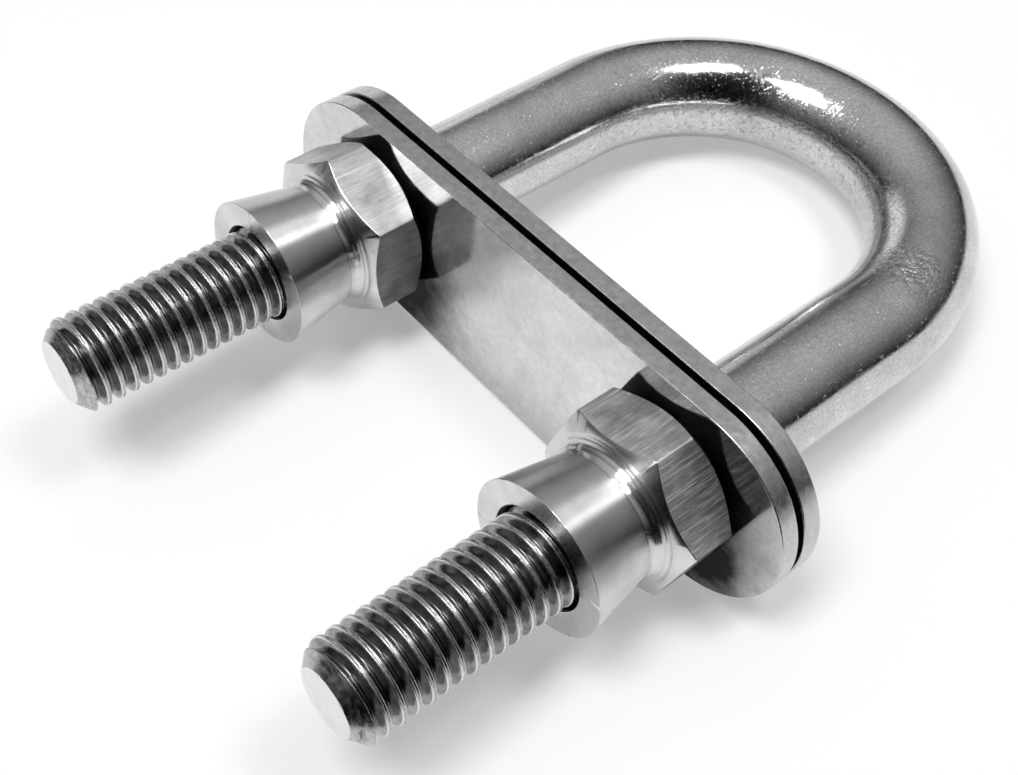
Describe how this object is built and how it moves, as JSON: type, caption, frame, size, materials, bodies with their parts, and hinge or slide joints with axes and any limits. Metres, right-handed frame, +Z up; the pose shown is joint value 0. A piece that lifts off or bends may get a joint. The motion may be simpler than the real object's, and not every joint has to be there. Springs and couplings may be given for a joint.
{
  "type": "bow eye",
  "caption": "Shouldered U-shaped bow eye with an oval outer plate, a matching backing plate and cone-bodied hexagon nuts on its threaded studs.",
  "frame": {"origin": "centre of the outer plate's hull-side face, midway between the studs", "axes": "+Y out of the hull along the legs towards the crown of the bow, studs to -Y, +X along the plates, +Z up out of the plane of the U"},
  "size_m": [0.0726, 0.0994, 0.022],
  "materials": {
    "polished_bar": "satin, drawn along the bar, with bright rolled thread crests",
    "plate_steel": "mill-polished faces with faint scratches and satin cut edges",
    "turned_steel": "fine turned rings on the cone, drawn grain on the flats"
  },
  "bodies": {
    "root": {"u_bolt": "polished_bar", "outer_plate": "plate_steel", "backing_plate": "plate_steel", "nut_left": "turned_steel", "nut_right": "turned_steel"}
  },
  "joints": []
}
